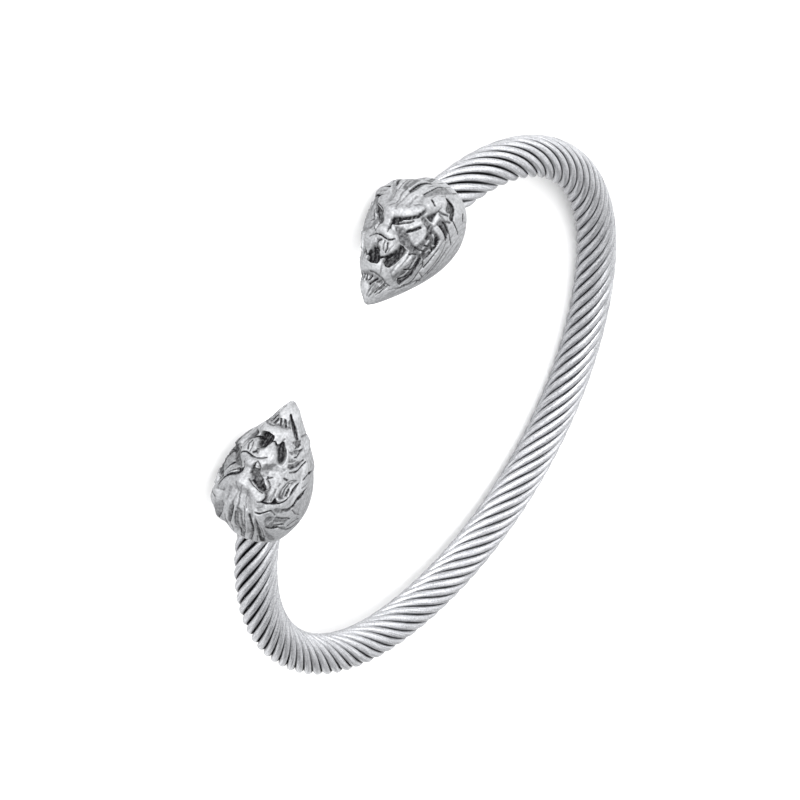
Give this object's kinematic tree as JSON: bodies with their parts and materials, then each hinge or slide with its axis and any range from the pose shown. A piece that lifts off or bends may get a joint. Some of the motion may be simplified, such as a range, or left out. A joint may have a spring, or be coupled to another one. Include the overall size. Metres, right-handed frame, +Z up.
{
  "type": "rope cuff bracelet",
  "caption": "Open oval cuff of twisted steel wire cable with a cast roaring lion head on each end.",
  "frame": {"origin": "on the ground under the middle of the cuff's outline, as it lies on its side", "axes": "+Z up from the ground, +X across the cuff's wide axis, -Y towards the gap between the two heads"},
  "size_m": [0.071, 0.0623, 0.0104],
  "materials": {
    "wire_steel": "drawn and polished stainless steel",
    "core_steel": "drawn stainless steel, dull",
    "head_steel": "cast stainless steel, high places polished and hollows darkened"
  },
  "bodies": {
    "root": {"core_rod": "core_steel", "wire_01": "wire_steel", "wire_02": "wire_steel", "wire_03": "wire_steel", "wire_04": "wire_steel", "wire_05": "wire_steel", "wire_06": "wire_steel", "wire_07": "wire_steel", "wire_08": "wire_steel", "wire_09": "wire_steel", "wire_10": "wire_steel", "wire_11": "wire_steel", "head_right": "head_steel", "head_left": "head_steel"}
  },
  "joints": []
}
